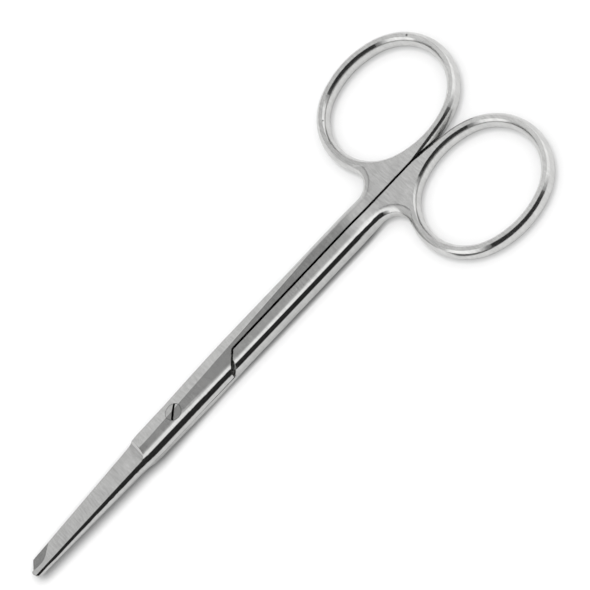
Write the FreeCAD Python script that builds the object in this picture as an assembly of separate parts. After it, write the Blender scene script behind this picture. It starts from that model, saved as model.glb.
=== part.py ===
# Suture scissors, closed and lying flat: two forged halves that cross in a lap joint, and one pivot screw.
#
# Frame, in millimetres: Z = 0 is the flat that the scissors lie on, and the pivot's axis is X = Y = 0.
# +X points from the pivot to the finger rings, +Y to the upper half's ring, +Z up.
# The pair's thickness is split at mid height. The upper half has its lap and blade above that level, and
# the lower half has its own below it. Past the shoulders each half is a shank of full thickness.
import FreeCAD
import Part

import math
import os

from FreeCAD import Vector

# Whole pair
THICKNESS = 4.5           # closed pair, at the shanks and the lap
PIVOT_TO_TIP = 41.4
PIVOT_TO_RING = 72.2      # pivot to the middle of a finger ring

# Shanks
SHANK_HALF_WIDTH = 3.45   # centre line to a shank's outer side
SHANK_ROUND = 1.7         # rounding of a shank's outer corners
SHANK_GAP = 0.5           # between the closed shanks

# Lap joint
LAP_NEAR = 3.45           # centre line to the lap's side at -Y
LAP_FAR = 2.85            # centre line to the lap's side at +Y
LAP_END = -8.0            # where the lap starts to narrow into the blades
CROWN_ROUND = 2.15        # the lap's corner on the back's side
LAP_EDGE_ROUND = 0.8      # the lap's corner on the cutting side
LAP_PLAY = 0.06           # between the two mating faces, round the pivot
LAP_RELIEF = 0.17         # taken off each mating face at the shoulders
RELIEF_START = 3.0        # where that relief begins
SHOULDER_X = 16.7         # where the shoulder meets the centre line
SHOULDER_ANGLE = 45.0
SHOULDER_GAP = 0.45
FACET_ANGLE = 20.0        # slope of the facet that is ground on the lap's cutting side
FACET_CREST = 0.25        # crest of that facet, beside the pivot
FACET_SPREAD = 0.045      # how fast the crest moves outwards along the lap

# Blades
BLADE_ROOT = -12.5        # where the blades' straight sides begin
ROOT_NEAR = 3.15          # centre line to the closed blades' sides, at the root
ROOT_FAR = 2.55
TIP_NEAR = 2.72           # and at the tip
TIP_FAR = 0.95
TIP_THICKNESS = 2.4       # both blades, before the grinding
EDGE_INSET = 0.08         # a cutting edge lies this far inside the other blade's back
ROOT_BACK_ROUND = 1.9     # rounding of a blade's back, at the root
TIP_BACK_ROUND = 1.1      # and at the tip
EDGE_ROUND = 0.1
GRIND_DEPTH = 0.31        # the ground face meets the rounded back this far below its top, at the root
ROOT_LAND = 0.5           # upright land that the grinding leaves at the cutting edge, at the root
TIP_LAND = 0.12           # and at the tip
GRIND_END = -9.2          # where the grinding wheel lifts off
WHEEL_ROUND = 2.0         # rounding that it leaves there
NOSE_RADIUS = 1.15        # rounding of the blades' ends on the near side
NOSE_SLANT = 50.0         # slope of their ends on the far side

# Hook notch in the upper blade
NOTCH_START = -35.3       # where the notch leaves the cutting edge
NOTCH_SLANT = 40.0
NOTCH_RADIUS = 2.6
NOTCH_FLOOR = -1.2        # Y of the notch's floor
HOOK_RADIUS = 9.0         # the floor curls up to the tip on this radius

# Finger rings: a bar with rounded sides, ground flat on top and below
RING_LENGTH = 25.7        # the opening along X
RING_DEPTH = 21.6         # the opening along Y
RING_END_RADIUS = 10.3    # the opening's smaller arcs
RING_THICKNESS = 4.0
RING_FLAT = 0.8           # width of the ground flats
RING_BULGE_OUT = 0.95     # how far the ring's outer side stands out past the flats
RING_BULGE_IN = 0.85
CROTCH_RADIUS = 3.8       # fillet between a shank and its ring
PARTING_ANGLE = 8.0       # the web's parting side leaves the ring at this angle
WEB_START = 48.0
TAPER_LENGTH = 8.0        # along which the web thins to the ring

# Pivot screw
HEAD_RADIUS = 1.7
HEAD_HEIGHT = 1.1
PIN_RADIUS = 1.2
THREAD_RADIUS = 1.0
SLOT_WIDTH = 0.4
SLOT_DEPTH = 0.8
SLOT_ANGLE = 43.0
PIN_CLEARANCE = 0.03
HEAD_CLEARANCE = 0.09
SEAT_CLEARANCE = 0.03
THREAD_CLEARANCE = 0.01

MID = THICKNESS / 2
RING_WIDTH = RING_BULGE_IN + RING_FLAT + RING_BULGE_OUT
CLEAR = 20.0              # cutting blocks reach this far past what they cut
PAST = 1.0                # and smaller ones this far past an end or a face
UP = Vector(0, 0, 1)


def blend(x, start, end):
    """A smooth step: 0 up to start, 1 from end on."""
    t = min(max((x - start) / (end - start), 0.0), 1.0)
    return t * t * (3 - 2 * t)


def mix(a, b, t):
    return a + (b - a) * t


def drawn_up(edges, low, high):
    """A plan outline at Z = 0, drawn up from one level to another."""
    face = Part.Face(Part.Wire(Part.sortEdges(edges)[0]))
    face.translate(Vector(0, 0, low))
    return face.extrude(Vector(0, 0, high - low))


def chain(points):
    """Straight edges from point to point."""
    corners = [Vector(x, y, 0) for x, y in points]
    return [Part.makeLine(a, b) for a, b in zip(corners, corners[1:])]


def prism(points, low=-CLEAR, high=CLEAR):
    return drawn_up(chain(points + points[:1]), low, high)


def side_prism(points):
    """An outline in X and Z, drawn out across the scissors."""
    corners = [Vector(x, -2 * CLEAR, z) for x, z in points]
    face = Part.Face(Part.makePolygon(corners + corners[:1]))
    return face.extrude(Vector(0, 4 * CLEAR, 0))


def arc(centre, radius, start, end):
    """An arc in plan, anticlockwise from one angle to the other, in degrees."""
    circle = Part.Circle(Vector(centre[0], centre[1], 0), UP, radius)
    return Part.ArcOfCircle(circle, math.radians(start), math.radians(end)).toShape()


def on_arc(centre, radius, degrees):
    a = math.radians(degrees)
    return centre[0] + radius * math.cos(a), centre[1] + radius * math.sin(a)


def turned_over(shape):
    """Half a turn about the pair's long axis, which brings one half's place to the other's."""
    copy = shape.copy()
    copy.rotate(Vector(0, 0, MID), Vector(1, 0, 0), 180)
    return copy


# The closed pair as one bar, from tip to web, in two layers

def along_blade(x):
    """0 up to the blades' root, 1 at their tip."""
    return max((BLADE_ROOT - x) / (BLADE_ROOT + PIVOT_TO_TIP), 0.0)


def sides_at(x):
    """How far the closed pair reaches from its centre line, towards -Y and towards +Y."""
    if x <= BLADE_ROOT:
        along = along_blade(x)
        return mix(ROOT_NEAR, TIP_NEAR, along), mix(ROOT_FAR, TIP_FAR, along)
    lap = blend(x, BLADE_ROOT, LAP_END)
    shank = blend(x, 0, SHOULDER_X)
    near = mix(mix(ROOT_NEAR, LAP_NEAR, lap), SHANK_HALF_WIDTH, shank)
    far = mix(mix(ROOT_FAR, LAP_FAR, lap), SHANK_HALF_WIDTH, shank)
    return near, far


def back_and_edge_at(x, back_is_near):
    """How far a layer's back and its cutting side lie from the centre line."""
    near, far = sides_at(x)
    back, edge = (near, far) if back_is_near else (far, near)
    return back, edge - EDGE_INSET * (1 - blend(x, BLADE_ROOT, LAP_END))


def layer_height_at(x):
    fall = max((LAP_END - x) / (LAP_END + PIVOT_TO_TIP), 0.0)
    return mix(MID, TIP_THICKNESS / 2, fall)


def corner_at(x, blade, lap):
    """A corner's radius at x, from its radii on the blade and on the lap."""
    on_lap = mix(blade, lap, blend(x, BLADE_ROOT, LAP_END))
    return mix(on_lap, SHANK_ROUND, blend(x, 0, SHOULDER_X))


def rounded_corner(x, y, top, radius, side):
    """A quarter of a circle at x, from the side wall up to the top, which it meets at y."""
    halfway = radius * math.sin(math.radians(45))
    return Part.Arc(Vector(x, y + side * radius, top - radius),
                    Vector(x, y + side * halfway, top - radius + halfway), Vector(x, y, top))


def layer_section(x, back, edge):
    """Section of the layer above mid height, with the back at -Y and the cutting side at +Y."""
    top = MID + layer_height_at(x)
    back_round = corner_at(x, mix(ROOT_BACK_ROUND, TIP_BACK_ROUND, along_blade(x)), CROWN_ROUND)
    edge_round = corner_at(x, EDGE_ROUND, LAP_EDGE_ROUND)
    back_corner = rounded_corner(x, back_round - back, top, back_round, -1)
    edge_corner = rounded_corner(x, edge - edge_round, top, edge_round, 1)
    foot_back = Vector(x, -back, MID)
    foot_edge = Vector(x, edge, MID)
    return Part.Wire([
        Part.makeLine(foot_back, back_corner.StartPoint),
        back_corner.toShape(),
        Part.makeLine(back_corner.EndPoint, edge_corner.EndPoint),
        edge_corner.toShape().reversed(),
        Part.makeLine(edge_corner.StartPoint, foot_edge),
        Part.makeLine(foot_edge, foot_back),
    ])


def layer_blanks(back_is_near):
    """A layer before grinding, in lengths from tip to web, lying above mid height with its back at -Y."""
    def section_at(x):
        back, edge = back_and_edge_at(x, back_is_near)
        return layer_section(x, back, edge)

    def even(start, end):
        return Part.Face(section_at(start)).extrude(Vector(end - start, 0, 0))

    def curved(start, end):
        return Part.makeLoft([section_at(start), section_at((start + end) / 2), section_at(end)], True)

    tip = -PIVOT_TO_TIP - PAST
    blade = Part.makeLoft([section_at(tip), section_at(BLADE_ROOT)], True, True)
    return [blade, curved(BLADE_ROOT, LAP_END), even(LAP_END, 0), curved(0, SHOULDER_X),
            even(SHOULDER_X, WEB_START)]


def lap_facet():
    """What is ground off the lap's cutting side: all above a plane whose crest moves outwards to the rings."""
    block = Part.makeBox(8 * CLEAR, 2 * CLEAR, CLEAR, Vector(-4 * CLEAR, -CLEAR, 0))
    block.rotate(Vector(0, 0, 0), Vector(1, 0, 0), -FACET_ANGLE)
    block.rotate(Vector(0, 0, 0), UP, math.degrees(math.atan(FACET_SPREAD)))
    block.translate(Vector(0, FACET_CREST, THICKNESS))
    return block


def grinding_wheel(back_is_near):
    """What is ground off a blade: all above one sloping plane, up to where the wheel lifts off.

    The plane meets the rounded back at a set depth and leaves an upright land along the cutting edge.
    """
    back, edge = back_and_edge_at(BLADE_ROOT, back_is_near)
    tip_edge = back_and_edge_at(-PIVOT_TO_TIP, back_is_near)[1]
    back_height = layer_height_at(BLADE_ROOT) - GRIND_DEPTH
    rise = ROOT_BACK_ROUND - GRIND_DEPTH
    meeting = back - ROOT_BACK_ROUND + math.sqrt(ROOT_BACK_ROUND ** 2 - rise ** 2)
    slope = (back_height - ROOT_LAND) / (edge + meeting)
    fall = (ROOT_LAND - TIP_LAND + slope * (edge - tip_edge)) / (PIVOT_TO_TIP + BLADE_ROOT)
    height = ROOT_LAND + slope * edge + fall * (GRIND_END - BLADE_ROOT)

    block = Part.makeBox(3 * CLEAR, 2 * CLEAR, CLEAR, Vector(-3 * CLEAR, -CLEAR, 0))
    lifting = [e for e in block.Edges
               if abs(e.CenterOfMass.x) < 1e-6 and abs(e.CenterOfMass.z) < 1e-6]
    block = block.makeFillet(WHEEL_ROUND, lifting)
    block.rotate(Vector(0, 0, 0), Vector(1, 0, 0), -math.degrees(math.atan(slope)))
    block.rotate(Vector(0, 0, 0), Vector(0, 1, 0), -math.degrees(math.atan(fall)))
    block.translate(Vector(GRIND_END, 0, MID + height))
    return block


def ground_layer(back_is_near, blade_too=True):
    lengths = [length.cut(lap_facet()) for length in layer_blanks(back_is_near)]
    if blade_too:
        lengths = [length.cut(grinding_wheel(back_is_near)) for length in lengths]
    return lengths[0].fuse(lengths[1:])


# How the bar is parted into the two halves

def all_behind_nose():
    """All that lies behind the blades' ends, which are rounded on the near side and slanted on the far side."""
    centre = (-PIVOT_TO_TIP + NOSE_RADIUS, -TIP_NEAR + NOSE_RADIUS)
    leave = on_arc(centre, NOSE_RADIUS, 90 + NOSE_SLANT)
    low = on_arc(centre, NOSE_RADIUS, 270)
    rise = 2 * CLEAR
    top = (leave[0] + rise / math.tan(math.radians(NOSE_SLANT)), leave[1] + rise)
    behind = 6 * CLEAR
    straight = chain([leave, top, (behind, top[1]), (behind, -rise), (low[0], -rise), low])
    return drawn_up(straight + [arc(centre, NOSE_RADIUS, 90 + NOSE_SLANT, 270)], -CLEAR, CLEAR)


def hook_notch():
    """The crescent cut in the upper blade's edge: a slant, a hollow, and a floor that curls to the tip."""
    slant = math.radians(NOTCH_SLANT)
    centre_y = NOTCH_FLOOR + NOTCH_RADIUS
    drop = TIP_FAR - NOTCH_FLOOR
    slant_height = drop - NOTCH_RADIUS * (1 - math.cos(slant))
    bottom_x = NOTCH_START - slant_height / math.tan(slant) - NOTCH_RADIUS * math.sin(slant)
    hollow = arc((bottom_x, centre_y), NOTCH_RADIUS, 270, 270 + NOTCH_SLANT)
    leave = on_arc((bottom_x, centre_y), NOTCH_RADIUS, 270 + NOTCH_SLANT)
    curl_angle = math.degrees(math.asin((bottom_x + PIVOT_TO_TIP + PAST) / HOOK_RADIUS))
    hook_centre = (bottom_x, NOTCH_FLOOR + HOOK_RADIUS)
    curl = arc(hook_centre, HOOK_RADIUS, 270 - curl_angle, 270)
    end = on_arc(hook_centre, HOOK_RADIUS, 270 - curl_angle)
    run = CLEAR / math.tan(slant)
    straight = chain([leave, (leave[0] + run, leave[1] + CLEAR), (end[0], leave[1] + CLEAR), end])
    return drawn_up([hollow, curl] + straight, -CLEAR, CLEAR)


def shoulder_region(side, own):
    """Plan of what a half keeps: its lap, blade and shank in its own layer, or its shank alone."""
    run = CLEAR / math.tan(math.radians(SHOULDER_ANGLE))
    shift = SHOULDER_GAP / 2 / math.sin(math.radians(SHOULDER_ANGLE))
    half_gap = SHANK_GAP / 2
    if own:
        line_x = SHOULDER_X - shift
        points = [(line_x - run, -CLEAR), (line_x + half_gap * run / CLEAR, half_gap),
                  (WEB_START, half_gap), (WEB_START, CLEAR), (-3 * CLEAR, CLEAR), (-3 * CLEAR, -CLEAR)]
    else:
        line_x = SHOULDER_X + shift
        points = [(line_x - half_gap * run / CLEAR, half_gap), (WEB_START, half_gap),
                  (WEB_START, CLEAR), (line_x - run, CLEAR)]
    return prism([(x, side * y) for x, y in points])


def shoulder_bevel():
    """What is taken off the lower half's rounded shank corner, where that ends at the shoulder."""
    from_line = SHOULDER_GAP / 2 / math.sin(math.radians(SHOULDER_ANGLE))
    flat_end = (SHANK_HALF_WIDTH - SHANK_ROUND) / math.tan(math.radians(SHOULDER_ANGLE))
    x = SHOULDER_X + from_line - flat_end
    return side_prism([(x - CLEAR, THICKNESS - CLEAR), (x + PAST, THICKNESS + PAST), (x - CLEAR, THICKNESS + PAST)])


def mating_side():
    """All above the upper half's mating face, which is relieved towards the shoulder."""
    play = MID + LAP_PLAY / 2
    end = SHOULDER_X + SHANK_HALF_WIDTH
    return side_prism([(-3 * CLEAR, play), (RELIEF_START, play), (end, play + LAP_RELIEF),
                       (3 * CLEAR, play + LAP_RELIEF), (3 * CLEAR, CLEAR), (-3 * CLEAR, CLEAR)])


# Finger ring and web

def ring_arcs(grow):
    """Centres and radii of the ring's opening, or of an outline that lies outside it: a four-arc oval."""
    a, b, r = RING_LENGTH / 2, RING_DEPTH / 2, RING_END_RADIUS
    flat = ((a - r) ** 2 + b ** 2 - r ** 2) / (2 * (b - r))
    middle_y = SHANK_GAP / 2 + RING_WIDTH + b
    turn = math.degrees(math.atan2(a - r, flat - b))
    left = (PIVOT_TO_RING - (a - r), middle_y)
    right = (PIVOT_TO_RING + (a - r), middle_y)
    low = (PIVOT_TO_RING, middle_y + flat - b)
    high = (PIVOT_TO_RING, middle_y - flat + b)
    return left, right, low, high, r + grow, flat + grow, turn


def ring_side(flat_edge, bulge):
    """One rounded side of the ring's section: an upright arc from one flat's edge to the other's."""
    half = RING_THICKNESS / 2
    return Part.Arc(Vector(flat_edge, 0, MID - half), Vector(flat_edge + bulge, 0, MID),
                    Vector(flat_edge, 0, MID + half)).toShape()


def ring_section(radius):
    """The ring's section in X and Z, where its opening lies at that radius from X = 0."""
    inner_edge = radius + RING_BULGE_IN
    outer_edge = inner_edge + RING_FLAT
    low = MID - RING_THICKNESS / 2
    high = MID + RING_THICKNESS / 2
    edges = [
        ring_side(outer_edge, RING_BULGE_OUT),
        ring_side(inner_edge, -RING_BULGE_IN),
        Part.makeLine(Vector(inner_edge, 0, low), Vector(outer_edge, 0, low)),
        Part.makeLine(Vector(inner_edge, 0, high), Vector(outer_edge, 0, high)),
    ]
    return Part.Face(Part.Wire(Part.sortEdges(edges)[0]))


def placed_section(centre, radius, angle):
    section = ring_section(radius)
    section.rotate(Vector(0, 0, 0), UP, angle)
    section.translate(Vector(centre[0], centre[1], 0))
    return section


def ring_bar():
    """The ring's bar, turned round the centres of its four arcs, and its straight run past the parting line."""
    left, right, low, high, small, large, turn = ring_arcs(0)
    lengths = []
    for centre, radius, start, sweep in (
            (right, small, turn - 90, 180 - 2 * turn),
            (high, large, 90 - turn, 2 * turn),
            (left, small, 90 + turn, 180 - 2 * turn),
            (low, large, 270 - turn, 2 * turn)):
        section = placed_section(centre, radius, start)
        lengths.append(section.revolve(Vector(centre[0], centre[1], 0), UP, sweep))
    leave = math.radians(270 + PARTING_ANGLE)
    run = RING_WIDTH / math.sin(math.radians(PARTING_ANGLE)) + PAST
    straight = placed_section(low, large, 270 + PARTING_ANGLE)
    lengths.append(straight.extrude(Vector(math.sin(leave), -math.cos(leave), 0) * run))
    return lengths


def crotch_centre():
    """Centre of the fillet between shank and ring, and the angle at which it meets the ring."""
    left, small = ring_arcs(RING_WIDTH)[0], ring_arcs(RING_WIDTH)[4]
    crotch_y = SHANK_HALF_WIDTH + CROTCH_RADIUS
    rise = left[1] - crotch_y
    crotch_x = left[0] - math.sqrt((small + CROTCH_RADIUS) ** 2 - rise ** 2)
    return (crotch_x, crotch_y), math.degrees(math.atan2(rise, left[0] - crotch_x))


def web_outline():
    """Plan of the web: shank side, crotch, then the inner edge of the ring's flats and of its straight run."""
    left, right, low, high, small, large, turn = ring_arcs(RING_BULGE_IN)
    crotch, meet = crotch_centre()
    leave = on_arc(low, large, 270 + PARTING_ANGLE)
    hidden = leave[1] - (leave[0] - WEB_START) * math.tan(math.radians(PARTING_ANGLE))
    return chain([leave, (WEB_START, hidden), (WEB_START, SHANK_HALF_WIDTH),
                  (crotch[0], SHANK_HALF_WIDTH)]) + [
        arc(crotch, CROTCH_RADIUS, -90, meet),
        arc(left, small, 180 + meet, 270 - turn),
        arc(low, large, 270 - turn, 270 + PARTING_ANGLE),
    ] + chain([on_arc(crotch, CROTCH_RADIUS, meet), on_arc(left, small, 180 + meet)])


def web_taper():
    """Side profile of the web: its faces bend in to the ring's thickness."""
    step = (THICKNESS - RING_THICKNESS) / 2
    end = WEB_START + TAPER_LENGTH
    behind = 6 * CLEAR

    def bend(z0, z1):
        middle = (WEB_START + end) / 2
        curve = Part.BezierCurve()
        curve.setPoles([Vector(WEB_START, -CLEAR, z0), Vector(middle, -CLEAR, z0),
                        Vector(middle, -CLEAR, z1), Vector(end, -CLEAR, z1)])
        return curve.toShape()

    edges = [
        bend(THICKNESS, THICKNESS - step),
        Part.makeLine(Vector(end, -CLEAR, THICKNESS - step), Vector(behind, -CLEAR, THICKNESS - step)),
        Part.makeLine(Vector(behind, -CLEAR, THICKNESS - step), Vector(behind, -CLEAR, step)),
        Part.makeLine(Vector(behind, -CLEAR, step), Vector(end, -CLEAR, step)),
        bend(0, step),
        Part.makeLine(Vector(WEB_START, -CLEAR, 0), Vector(WEB_START, -CLEAR, THICKNESS)),
    ]
    face = Part.Face(Part.Wire(Part.sortEdges(edges)[0]))
    return face.extrude(Vector(0, 4 * CLEAR, 0))


def is_crotch_rim(edge):
    """True for a top or bottom edge of the web along the shank's outer side or the crotch."""
    box = edge.BoundBox
    upright = box.XLength < 1e-4 and box.YLength < 1e-4
    middle = edge.valueAt((edge.FirstParameter + edge.LastParameter) / 2)
    crotch = crotch_centre()[0]
    on_shank = abs(middle.y - SHANK_HALF_WIDTH) < 1e-4
    on_crotch = abs(math.hypot(middle.x - crotch[0], middle.y - crotch[1]) - CROTCH_RADIUS) < 1e-4
    return not upright and (on_shank or on_crotch)


def bow():
    """The upper half's web and ring, cut flat on the parting side."""
    web = drawn_up(web_outline(), 0, THICKNESS).common(web_taper())
    web = web.makeFillet(SHANK_ROUND, [e for e in web.Edges if is_crotch_rim(e)])
    parting = Part.makeBox(6 * CLEAR, CLEAR, 2 * CLEAR, Vector(0, SHANK_GAP / 2 - CLEAR, -CLEAR))
    return web.fuse(ring_bar()).cut(parting).removeSplitter()


# Pivot screw and its holes

def cylinder(radius, low, high):
    return Part.makeCylinder(radius, high - low, Vector(0, 0, low))


def head_seat():
    return THICKNESS - HEAD_HEIGHT


def pivot_hole_upper():
    hole = cylinder(PIN_RADIUS + PIN_CLEARANCE, -PAST, THICKNESS + PAST)
    sink = cylinder(HEAD_RADIUS + HEAD_CLEARANCE, head_seat() - SEAT_CLEARANCE, THICKNESS + PAST)
    return hole.fuse(sink)


def pivot_hole_lower():
    return cylinder(THREAD_RADIUS + THREAD_CLEARANCE, -PAST, THICKNESS + PAST)


def pivot_screw(bar):
    """Slotted head, plain pin through the upper half, thread in the lower half, ground flush at both ends."""
    pin_foot = MID - LAP_PLAY / 2
    screw = cylinder(HEAD_RADIUS, head_seat(), THICKNESS + PAST)
    screw = screw.fuse(cylinder(PIN_RADIUS, pin_foot, head_seat()))
    screw = screw.fuse(cylinder(THREAD_RADIUS, -PAST, pin_foot))
    slot = Part.makeBox(4 * HEAD_RADIUS, SLOT_WIDTH, SLOT_DEPTH + PAST,
                        Vector(-2 * HEAD_RADIUS, -SLOT_WIDTH / 2, 0))
    slot.rotate(Vector(0, 0, 0), UP, SLOT_ANGLE)
    slot.translate(Vector(0, 0, THICKNESS - SLOT_DEPTH))
    return screw.common(bar).cut(slot).removeSplitter()


def half(own_layer, other_layer, mating, bevel, ring, side):
    """One half: its own layer of the bar as far as the shoulder, its shank in both layers, and its ring."""
    own = own_layer.common(shoulder_region(side, True)).common(mating)
    shank_region = shoulder_region(side, False)
    shank = own_layer.common(shank_region).fuse(other_layer.common(shank_region).cut(bevel))
    return own.fuse([shank, ring])


def build():
    upper_layer = ground_layer(True)
    lower_layer = turned_over(ground_layer(False))
    mating, bevel, ring = mating_side(), shoulder_bevel(), bow()
    upper = half(upper_layer, lower_layer, mating, turned_over(bevel), ring, 1)
    lower = half(lower_layer, upper_layer, turned_over(mating), bevel, turned_over(ring), -1)
    kept = all_behind_nose()
    return {
        "upper_half": upper.common(kept).cut(hook_notch()).cut(pivot_hole_upper()),
        "lower_half": lower.common(kept).cut(pivot_hole_lower()),
        "pivot_screw": pivot_screw(ground_layer(True, False).fuse(lower_layer)),
    }


os.makedirs("parts", exist_ok=True)
for name, shape in build().items():
    print(name, "valid", shape.isValid(), "solids", len(shape.Solids), "volume", round(shape.Volume, 2))
    shape.exportStep(f"parts/{name}.step")
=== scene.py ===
# Suture scissors, closed and lying flat on a pale table: two forged halves and one pivot screw, all in metres.
# +X points from the pivot to the finger rings, +Y to the upper half's ring, +Z up from the table.
import math

import bpy
from mathutils import Matrix, Vector

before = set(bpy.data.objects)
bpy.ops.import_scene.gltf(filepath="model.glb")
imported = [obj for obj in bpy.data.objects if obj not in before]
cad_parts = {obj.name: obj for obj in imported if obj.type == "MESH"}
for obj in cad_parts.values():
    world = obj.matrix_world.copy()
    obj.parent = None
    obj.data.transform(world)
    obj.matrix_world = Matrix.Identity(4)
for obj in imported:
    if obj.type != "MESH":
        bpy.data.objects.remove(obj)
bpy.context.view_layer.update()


# Camera. It stands on the lower ring's side and looks down at the pair, turned so that the tip points to the
# picture's lower left.
CAMERA_TARGET = Vector((0.03253, 0.0006, 0.0))
CAMERA_DIRECTION = Vector((0.002, -0.542, 1.0)).normalized()
CAMERA_DISTANCE = 0.71
VIEW_WIDTH = 0.11445                   # seen across the picture at the target
CAMERA_ROLL = math.radians(46.45)
SENSOR_WIDTH_MM = 36.0
CLIP_START = 0.01

side = (-CAMERA_DIRECTION).cross(Vector((0, 1, 0))).normalized()
up = side.cross(-CAMERA_DIRECTION)
turned_side = side * math.cos(CAMERA_ROLL) - up * math.sin(CAMERA_ROLL)
turned_up = side * math.sin(CAMERA_ROLL) + up * math.cos(CAMERA_ROLL)
camera_data = bpy.data.cameras.new("camera")
camera_data.sensor_width = SENSOR_WIDTH_MM
camera_data.lens = SENSOR_WIDTH_MM * CAMERA_DISTANCE / VIEW_WIDTH
camera_data.clip_start = CLIP_START
camera = bpy.data.objects.new("camera", camera_data)
bpy.context.scene.collection.objects.link(camera)
camera.matrix_world = Matrix.Translation(CAMERA_TARGET + CAMERA_DIRECTION * CAMERA_DISTANCE) @ Matrix(
    (turned_side, turned_up, CAMERA_DIRECTION)).transposed().to_4x4()
bpy.context.scene.camera = camera
bpy.context.scene.view_settings.view_transform = "Standard"


# Light tent round the table, as the steel mirrors it: a pale back wall, a broad soft lamp overhead, a dark gap
# between them on the tip's side, and a dark opening low down on the viewer's side. Matt surfaces get soft light
# from above instead, and the camera sees plain white past the table.
TENT_LEFT = [                          # angle from straight up, towards the viewer, and brightness
    (-180, 1.02), (-95, 1.02), (-72, 1.10), (-60, 0.95), (-44, 0.87), (-37, 0.09), (-12, 0.10), (-3, 1.22),
    (12, 1.56), (40, 1.56), (60, 1.15), (100, 1.02), (180, 1.02),
]
TENT_RIGHT = [                         # the same on the rings' side, where the dark gap is closed
    (-180, 1.02), (-95, 1.02), (-72, 1.10), (-42, 0.92), (-34, 0.90), (-25, 1.60), (-14, 1.60), (-4, 1.70),
    (12, 1.95), (40, 1.85), (60, 1.15), (100, 1.02), (180, 1.02),
]
TENT_PEAK = 2.0                        # the brightness that a ramp's white stands for
SEAM_FROM, SEAM_TO = 0.02, 0.045       # a direction's X, between which the left stops pass into the right ones
END_WALL_FROM, END_WALL_TO = 0.72, 0.94          # and the tent into its end wall past the rings
END_WALL = 1.40
TIP_WALL_FROM, TIP_WALL_TO = 0.12, 0.3           # a direction's -X, where it passes into the wall past the tip
TIP_WALL_BACK, TIP_WALL_FRONT = 0.78, 1.5        # that wall's brightness, behind and in front
TIP_WALL_TURN = (-5.0, 12.0)           # the angles between which it changes
OPENING_TOP = (32.5, 35.5)             # the angles between which the dark opening starts below the lamp
OPENING_ENDS = (13.0, 38.0)            # and those, seen from above, between which it starts at each end
OPENING_SHORTER = 2.3                  # how much shorter than the tent that leaves it
OPENING_DARK = 0.03
LAMP_LEAN = Vector((0, -0.15, 1.0)).normalized()
LAMP_LIGHT = 1.9                       # soft light on matt surfaces, strongest from above
SMOOTH = {"interpolation_type": "SMOOTHSTEP"}    # for a Map Range node that rises without a kink


def add_node(tree, kind, settings=None, **inputs):
    """Adds a node. settings are its properties, and inputs are its sockets by name, or by place as _0, _1, ...

    An input is a plain value, a socket, or a node, whose first output in use then feeds it."""
    node = tree.nodes.new(kind)
    for name, value in (settings or {}).items():
        setattr(node, name, value)
    for name, value in inputs.items():
        key = int(name[1:]) if name[1:].isdigit() else name.replace("_", " ")
        if isinstance(value, bpy.types.Node):
            value = next(output for output in value.outputs if output.enabled)
        if isinstance(value, bpy.types.NodeSocket):
            tree.links.new(value, node.inputs[key])
        else:
            node.inputs[key].default_value = value
    return node


world = bpy.data.worlds.new("light_tent")
world.use_nodes = True
bpy.context.scene.world = world
tree = world.node_tree
tree.nodes.clear()
direction = add_node(tree, "ShaderNodeTexCoord").outputs["Generated"]
parts = add_node(tree, "ShaderNodeSeparateXYZ", Vector=direction)
to_rings = parts.outputs["X"]
to_tip = add_node(tree, "ShaderNodeMath", {"operation": "MULTIPLY"}, _0=to_rings, _1=-1.0)
to_viewer = add_node(tree, "ShaderNodeMath", {"operation": "MULTIPLY"}, _0=parts.outputs["Y"], _1=-1.0)
angle = add_node(tree, "ShaderNodeMath", {"operation": "ARCTAN2"}, _0=to_viewer, _1=parts.outputs["Z"])

turn = add_node(tree, "ShaderNodeMapRange", Value=angle, From_Min=-math.pi, From_Max=math.pi)
walls = []
for stops in (TENT_LEFT, TENT_RIGHT):
    wall = add_node(tree, "ShaderNodeValToRGB", Fac=turn)
    elements = wall.color_ramp.elements
    while len(elements) < len(stops):
        elements.new(0.5)
    for element, (degrees, brightness) in zip(elements, stops):
        element.position = (degrees + 180) / 360
        element.color = [brightness / TENT_PEAK] * 3 + [1]
    walls.append(wall)
past_seam = add_node(tree, "ShaderNodeMapRange", SMOOTH, Value=to_rings,
                     From_Min=SEAM_FROM, From_Max=SEAM_TO)
tent = add_node(tree, "ShaderNodeMix", {"data_type": "FLOAT"}, Factor=past_seam, A=walls[0], B=walls[1])

at_end = add_node(tree, "ShaderNodeMapRange", SMOOTH, Value=to_rings,
                  From_Min=END_WALL_FROM, From_Max=END_WALL_TO)
tent = add_node(tree, "ShaderNodeMix", {"data_type": "FLOAT"}, Factor=at_end, A=tent, B=END_WALL / TENT_PEAK)

at_tip = add_node(tree, "ShaderNodeMapRange", SMOOTH, Value=to_tip,
                  From_Min=TIP_WALL_FROM, From_Max=TIP_WALL_TO)
tip_wall = add_node(tree, "ShaderNodeMapRange", Value=angle,
                    From_Min=math.radians(TIP_WALL_TURN[0]), From_Max=math.radians(TIP_WALL_TURN[1]),
                    To_Min=TIP_WALL_BACK / TENT_PEAK, To_Max=TIP_WALL_FRONT / TENT_PEAK)
tent = add_node(tree, "ShaderNodeMix", {"data_type": "FLOAT"}, Factor=at_tip, A=tent, B=tip_wall)

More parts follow.
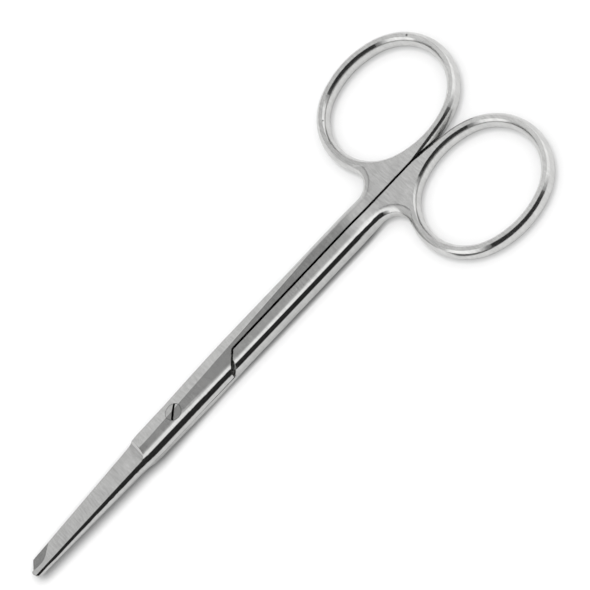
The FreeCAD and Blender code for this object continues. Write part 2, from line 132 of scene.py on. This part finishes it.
below_lamp = add_node(tree, "ShaderNodeMapRange", SMOOTH, Value=angle,
                      From_Min=math.radians(OPENING_TOP[0]), From_Max=math.radians(OPENING_TOP[1]))
sideways = add_node(tree, "ShaderNodeMath", {"operation": "ABSOLUTE"}, _0=to_rings)
sideways = add_node(tree, "ShaderNodeMath", {"operation": "MULTIPLY"}, _0=sideways, _1=OPENING_SHORTER)
turned_to_viewer = add_node(tree, "ShaderNodeMath", {"operation": "ARCTAN2"}, _0=to_viewer, _1=sideways)
in_front = add_node(tree, "ShaderNodeMapRange", SMOOTH, Value=turned_to_viewer,
                    From_Min=math.radians(OPENING_ENDS[0]), From_Max=math.radians(OPENING_ENDS[1]))
opening = add_node(tree, "ShaderNodeMath", {"operation": "MULTIPLY"}, _0=below_lamp, _1=in_front)
tent = add_node(tree, "ShaderNodeMix", {"data_type": "FLOAT"}, Factor=opening,
                A=tent, B=OPENING_DARK / TENT_PEAK)

mirrored_tent = add_node(tree, "ShaderNodeBackground", Color=tent, Strength=TENT_PEAK)
to_lamp = add_node(tree, "ShaderNodeVectorMath", {"operation": "DOT_PRODUCT"}, _0=direction, _1=LAMP_LEAN)
to_lamp = add_node(tree, "ShaderNodeMath", {"operation": "MAXIMUM"}, _0=to_lamp, _1=0.0)
soft_light = add_node(tree, "ShaderNodeMath", {"operation": "MULTIPLY"}, _0=to_lamp, _1=LAMP_LIGHT)
soft_lamp = add_node(tree, "ShaderNodeBackground", Color=(1, 1, 1, 1), Strength=soft_light)
plain_white = add_node(tree, "ShaderNodeBackground", Color=(1, 1, 1, 1), Strength=1.0)
ray = add_node(tree, "ShaderNodeLightPath")
light = add_node(tree, "ShaderNodeMixShader", _0=ray.outputs["Is Glossy Ray"], _1=soft_lamp, _2=mirrored_tent)
room = add_node(tree, "ShaderNodeMixShader", _0=ray.outputs["Is Camera Ray"], _1=light, _2=plain_white)
add_node(tree, "ShaderNodeOutputWorld", Surface=room)


# Table top: a matt white sheet, wide enough to fill every view. It keeps the pair's soft shadow, and a painted
# contact shadow deepens it where steel and paper touch. Round the rings, whose undersides are rounded, that
# shadow is painted lighter, and a dark patch, seen only in the steel, is a painted reflection in front of the
# shanks.
TABLE_SIZE = 3.0
RING_FROM, RING_TO = 0.050, 0.060      # X between which the shanks pass into the rings
BLADE_FROM, BLADE_TO = 0.012, -0.016   # and into the blades
TABLE_GLOW, RING_PAINTED_GLOW = 0.12, 0.35     # share of plain white that the camera sees beside shanks and rings; the larger is painted light on the rings' shadow
CONTACT_REACH = 0.0011                 # the painted contact shadow's width beside the shanks
BLADE_CONTACT_REACH = 0.0026           # and beside the blades, which lie flat on the sheet
CONTACT_TONE, RING_CONTACT_TONE = 0.10, 0.55     # how light the sheet is in its deepest painted shadow
SHADE_FULL, SHADE_GONE = 0.35, 0.97    # share of the sky in sight where that shadow is deepest, and gone
PAPER_COLOUR = "#F4F4F4"
PAPER_ROUGHNESS = 0.9
PAINTED_REFLECTION_EDGE = (-0.021, -0.025)           # Y between which the dark patch of painted reflection starts
PAINTED_REFLECTION_END = (0.056, 0.048)              # X between which it ends before the rings
PAINTED_REFLECTION_TONE = 0.04
NEARNESS = {"samples": 8}              # for the nodes that find how near another surface is


def linear(hex_colour):
    """An sRGB hex colour as the linear RGBA that Blender's shaders take."""
    values = [int(hex_colour[k:k + 2], 16) / 255 for k in (1, 3, 5)]
    return [v / 12.92 if v <= 0.04045 else ((v + 0.055) / 1.055) ** 2.4 for v in values] + [1.0]


bpy.ops.object.select_all(action="DESELECT")
bpy.ops.mesh.primitive_plane_add(size=TABLE_SIZE, location=(0, 0, 0))
table = bpy.context.object
table.name = "table_top"
paper = bpy.data.materials.new("matt white paper")
paper.use_nodes = True
tree = paper.node_tree
tree.nodes.clear()
place = add_node(tree, "ShaderNodeTexCoord")
spot = add_node(tree, "ShaderNodeSeparateXYZ", Vector=place.outputs["Object"])
tipward = add_node(tree, "ShaderNodeMapRange", SMOOTH, Value=spot.outputs["X"],
                   From_Min=BLADE_FROM, From_Max=BLADE_TO)
ringward = add_node(tree, "ShaderNodeMapRange", SMOOTH, Value=spot.outputs["X"],
                    From_Min=RING_FROM, From_Max=RING_TO)
# Painted contact shadow: the sheet's colour darkens near the steel, on top of the rendered shadow.
reach = add_node(tree, "ShaderNodeMapRange", Value=tipward, To_Min=CONTACT_REACH, To_Max=BLADE_CONTACT_REACH)
near = add_node(tree, "ShaderNodeAmbientOcclusion", NEARNESS, Distance=reach)
deepest = add_node(tree, "ShaderNodeMapRange", Value=ringward, To_Min=CONTACT_TONE, To_Max=RING_CONTACT_TONE)
painted_contact_shadow = add_node(tree, "ShaderNodeMapRange", Value=near.outputs["AO"],
                   From_Min=SHADE_FULL, From_Max=SHADE_GONE, To_Min=deepest, To_Max=1.0)
sheet = add_node(tree, "ShaderNodeMix", {"data_type": "RGBA", "blend_type": "MULTIPLY"},
                 Factor=1.0, A=linear(PAPER_COLOUR), B=painted_contact_shadow)

ray = add_node(tree, "ShaderNodeLightPath")
# Painted reflection: only glossy rays see the sheet dark in front of the shanks, so the steel mirrors a dark
# patch.
past_edge = add_node(tree, "ShaderNodeMapRange", SMOOTH, Value=spot.outputs["Y"],
                     From_Min=PAINTED_REFLECTION_EDGE[0], From_Max=PAINTED_REFLECTION_EDGE[1])
before_end = add_node(tree, "ShaderNodeMapRange", SMOOTH, Value=spot.outputs["X"],
                      From_Min=PAINTED_REFLECTION_END[0], From_Max=PAINTED_REFLECTION_END[1])
painted_reflection = add_node(tree, "ShaderNodeMath", {"operation": "MULTIPLY"}, _0=past_edge, _1=before_end)
painted_reflection = add_node(tree, "ShaderNodeMath", {"operation": "MULTIPLY"}, _0=painted_reflection, _1=ray.outputs["Is Glossy Ray"])
colour = add_node(tree, "ShaderNodeMix", {"data_type": "RGBA"}, Factor=painted_reflection,
                  A=sheet, B=(PAINTED_REFLECTION_TONE, PAINTED_REFLECTION_TONE, PAINTED_REFLECTION_TONE, 1))

matt = add_node(tree, "ShaderNodeBsdfPrincipled", Base_Color=colour, Roughness=PAPER_ROUGHNESS)
white = add_node(tree, "ShaderNodeEmission", Color=(1, 1, 1, 1), Strength=1.0)
# Painted light: round the rings the camera sees more plain white, so their shadow looks fainter.
share = add_node(tree, "ShaderNodeMapRange", Value=ringward, To_Min=TABLE_GLOW, To_Max=RING_PAINTED_GLOW)
share = add_node(tree, "ShaderNodeMath", {"operation": "MULTIPLY"}, _0=ray.outputs["Is Camera Ray"], _1=share)
surface = add_node(tree, "ShaderNodeMixShader", _0=share, _1=matt, _2=white)
add_node(tree, "ShaderNodeOutputMaterial", Surface=surface)
table.data.materials.append(paper)


# The two forged halves: hardened stainless steel, ground on the flats and polished on the rounded flanks.
# The flats carry a fine grain across the pair, the flanks mirror the room more sharply, and the rings are
# duller, with a lighter base colour. Painted shade darkens the steel near other surfaces and on the upper half's
# level strip.
STEEL_COLOUR = "#B9B9B8"
GRAIN_WIDTH_MM = 0.3                   # real grain is finer; this is as coarse as it needs to show
GRAIN_STRETCH = 8                      # a grain line's length in widths
GRAIN_DEPTH = 0.00002
GRAIN_RELIEF = 0.12                    # share of that depth that the flats still have
MOTTLE_MM = 2.5                        # soft patches that the grinding leaves
NOISE_DETAIL, NOISE_ROUGHNESS = 3.0, 0.6
NOISE_LOW, NOISE_HIGH = 0.3, 0.7       # what the noise nodes give nearly everywhere
GRAIN_TONES = (0.90, 1.08)
MOTTLE_TONES = (0.94, 1.05)
FLANK_ROUGHNESS = 0.09
RING_ROUGHNESS = 0.16
FLAT_ROUGHNESS = 0.27
RING_TONE = 1.16
FLAT_FROM, FLAT_TO = 0.84, 0.92        # the normal's Z, up or down, between which a flank passes into a flat
LEVEL_FROM, LEVEL_TO = 0.965, 0.985    # and, up only, a sloping flat into a level one
STRIP_START = (-0.006, 0.036)          # X between which the strip's painted shade comes in
STRIP_END = (0.046, 0.056)             # and ends
PAINTED_STRIP_SHADE = 0.68
CREVICE_REACH = 0.00055                # painted shade darkens the steel this near to another surface
CREVICE_FULL, CREVICE_GONE = 0.25, 0.8           # share of the sky seen where that painted shade is deepest, and gone
CREVICE_TONE = 0.12


def satin_steel(name, base, painted_strip_shade=1.0):
    """Ground and polished stainless steel; gives the material, its shader node and its place node.

    painted_strip_shade is painted shade: it darkens the level strip between the joint and the web, standing in
    for a darker reflection there."""
    steel = bpy.data.materials.new(name)
    steel.use_nodes = True
    tree = steel.node_tree
    tree.nodes.clear()
    place = add_node(tree, "ShaderNodeTexCoord")
    spot = add_node(tree, "ShaderNodeSeparateXYZ", Vector=place.outputs["Object"])
    tilt = add_node(tree, "ShaderNodeSeparateXYZ", Vector=place.outputs["Normal"])
    levelness = add_node(tree, "ShaderNodeMath", {"operation": "ABSOLUTE"}, _0=tilt.outputs["Z"])
    flat = add_node(tree, "ShaderNodeMapRange", SMOOTH, Value=levelness, From_Min=FLAT_FROM, From_Max=FLAT_TO)

    grain_scale = 1000 / GRAIN_WIDTH_MM
    stretched = add_node(tree, "ShaderNodeMapping", Vector=place.outputs["Object"],
                         Scale=(grain_scale, grain_scale / GRAIN_STRETCH, grain_scale / GRAIN_STRETCH))
    grain = add_node(tree, "ShaderNodeTexNoise", Vector=stretched,
                     Scale=1.0, Detail=NOISE_DETAIL, Roughness=NOISE_ROUGHNESS)
    mottle = add_node(tree, "ShaderNodeTexNoise", Vector=place.outputs["Object"],
                      Scale=1000 / MOTTLE_MM, Detail=NOISE_DETAIL, Roughness=NOISE_ROUGHNESS)
    fine = add_node(tree, "ShaderNodeMapRange", Value=grain, From_Min=NOISE_LOW, From_Max=NOISE_HIGH,
                    To_Min=GRAIN_TONES[0], To_Max=GRAIN_TONES[1])
    broad = add_node(tree, "ShaderNodeMapRange", Value=mottle, From_Min=NOISE_LOW, From_Max=NOISE_HIGH,
                     To_Min=MOTTLE_TONES[0], To_Max=MOTTLE_TONES[1])

    # Painted shade: the steel darkens near other surfaces, in gaps, seams and the slot.
    crevice = add_node(tree, "ShaderNodeAmbientOcclusion", NEARNESS, Distance=CREVICE_REACH)
    painted_crevice_shade = add_node(tree, "ShaderNodeMapRange", SMOOTH, Value=crevice.outputs["AO"],
                     From_Min=CREVICE_FULL, From_Max=CREVICE_GONE, To_Min=CREVICE_TONE, To_Max=1.0)
    # The rings' base colour is made lighter by RING_TONE.
    lighter_rings = add_node(tree, "ShaderNodeMapRange", SMOOTH, Value=spot.outputs["X"],
                       From_Min=RING_FROM, From_Max=RING_TO, To_Min=1.0, To_Max=RING_TONE)
    # Painted shade: one half's level strip between the joint and the web is darkened.
    started = add_node(tree, "ShaderNodeMapRange", SMOOTH, Value=spot.outputs["X"],
                       From_Min=STRIP_START[0], From_Max=STRIP_START[1])
    ended = add_node(tree, "ShaderNodeMapRange", SMOOTH, Value=spot.outputs["X"],
                     From_Min=STRIP_END[0], From_Max=STRIP_END[1])
    along = add_node(tree, "ShaderNodeMath", {"operation": "SUBTRACT"}, _0=started, _1=ended)
    level = add_node(tree, "ShaderNodeMapRange", SMOOTH, Value=tilt.outputs["Z"],
                     From_Min=LEVEL_FROM, From_Max=LEVEL_TO)
    in_strip = add_node(tree, "ShaderNodeMath", {"operation": "MULTIPLY"}, _0=along, _1=level)
    strip = add_node(tree, "ShaderNodeMapRange", Value=in_strip, To_Min=1.0, To_Max=painted_strip_shade)
    shade = fine
    for effect in (broad, painted_crevice_shade, lighter_rings, strip):
        shade = add_node(tree, "ShaderNodeMath", {"operation": "MULTIPLY"}, _0=shade, _1=effect)
    tone = add_node(tree, "ShaderNodeMix", {"data_type": "RGBA", "blend_type": "MULTIPLY"},
                    Factor=1.0, A=linear(base), B=shade)

    flank = add_node(tree, "ShaderNodeMapRange", SMOOTH, Value=spot.outputs["X"],
                     From_Min=RING_FROM, From_Max=RING_TO, To_Min=FLANK_ROUGHNESS, To_Max=RING_ROUGHNESS)
    rough = add_node(tree, "ShaderNodeMapRange", Value=flat, To_Min=flank, To_Max=FLAT_ROUGHNESS)
    height = add_node(tree, "ShaderNodeMath", {"operation": "MULTIPLY"}, _0=grain, _1=flat)
    bump = add_node(tree, "ShaderNodeBump", Height=height, Strength=GRAIN_RELIEF, Distance=GRAIN_DEPTH)
    metal = add_node(tree, "ShaderNodeBsdfPrincipled", Base_Color=tone, Metallic=1.0,
                     Roughness=rough, Normal=bump)
    add_node(tree, "ShaderNodeOutputMaterial", Surface=metal)
    return steel, metal, place


def stain(metal, mask, hex_colour):
    """Lays a colour over a steel's shader node where the mask is 1."""
    tree = metal.id_data
    base = metal.inputs["Base Color"]
    stained = add_node(tree, "ShaderNodeMix", {"data_type": "RGBA"}, Factor=mask,
                       A=base.links[0].from_socket, B=linear(hex_colour))
    tree.links.new(stained.outputs["Result"], base)


lower_steel = satin_steel("satin stainless steel", STEEL_COLOUR)[0]
upper_steel, metal, place = satin_steel("satin stainless steel, painted dark strip", STEEL_COLOUR, PAINTED_STRIP_SHADE)

# Two small pits that the forging left in the upper ring's top, dark with scale.
PITS = ((0.0611, 0.0205, 0.00425), (0.0844, 0.0201, 0.00425))
PIT_RADIUS = 0.0003
SCALE_COLOUR = "#3A3A39"
tree = upper_steel.node_tree
for pit in PITS:
    away = add_node(tree, "ShaderNodeVectorMath", {"operation": "DISTANCE"}, _0=place.outputs["Object"], _1=pit)
    in_pit = add_node(tree, "ShaderNodeMapRange", SMOOTH, Value=away,
                      From_Min=PIT_RADIUS, From_Max=PIT_RADIUS / 3)
    stain(metal, in_pit, SCALE_COLOUR)

for name, steel in (("upper_half", upper_steel), ("lower_half", lower_steel)):
    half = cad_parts[name]
    half.data.materials.clear()
    half.data.materials.append(steel)


# The pivot screw: turned steel, driven home and ground flush with the lap, so its head has the lap's finish.
# The slot's walls and floor, and its two edges, are painted dark: painted shade for the narrow groove.
SLOT_ANGLE = math.radians(43)
SLOT_HALF_WIDTH = 0.00025              # the slot and the painted shade on its two edges
SLOT_FLOOR_Z = 0.0036
SCREW_COLOUR = "#B2B2B1"
SLOT_SHADE_COLOUR = "#1A1918"
screw_steel, metal, place = satin_steel("ground stainless screw", SCREW_COLOUR)
tree = screw_steel.node_tree
spot = add_node(tree, "ShaderNodeSeparateXYZ", Vector=place.outputs["Object"])
# Painted shade: the slot and its edges take a near-black colour.
across_x = add_node(tree, "ShaderNodeMath", {"operation": "MULTIPLY"},
                    _0=spot.outputs["X"], _1=math.sin(SLOT_ANGLE))
across_y = add_node(tree, "ShaderNodeMath", {"operation": "MULTIPLY"},
                    _0=spot.outputs["Y"], _1=math.cos(SLOT_ANGLE))
across = add_node(tree, "ShaderNodeMath", {"operation": "SUBTRACT"}, _0=across_x, _1=across_y)
across = add_node(tree, "ShaderNodeMath", {"operation": "ABSOLUTE"}, _0=across)
in_width = add_node(tree, "ShaderNodeMath", {"operation": "LESS_THAN"}, _0=across, _1=SLOT_HALF_WIDTH)
above = add_node(tree, "ShaderNodeMath", {"operation": "GREATER_THAN"}, _0=spot.outputs["Z"], _1=SLOT_FLOOR_Z)
painted_slot_shade = add_node(tree, "ShaderNodeMath", {"operation": "MULTIPLY"}, _0=above, _1=in_width)
stain(metal, painted_slot_shade, SLOT_SHADE_COLOUR)
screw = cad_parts["pivot_screw"]
screw.data.materials.clear()
screw.data.materials.append(screw_steel)
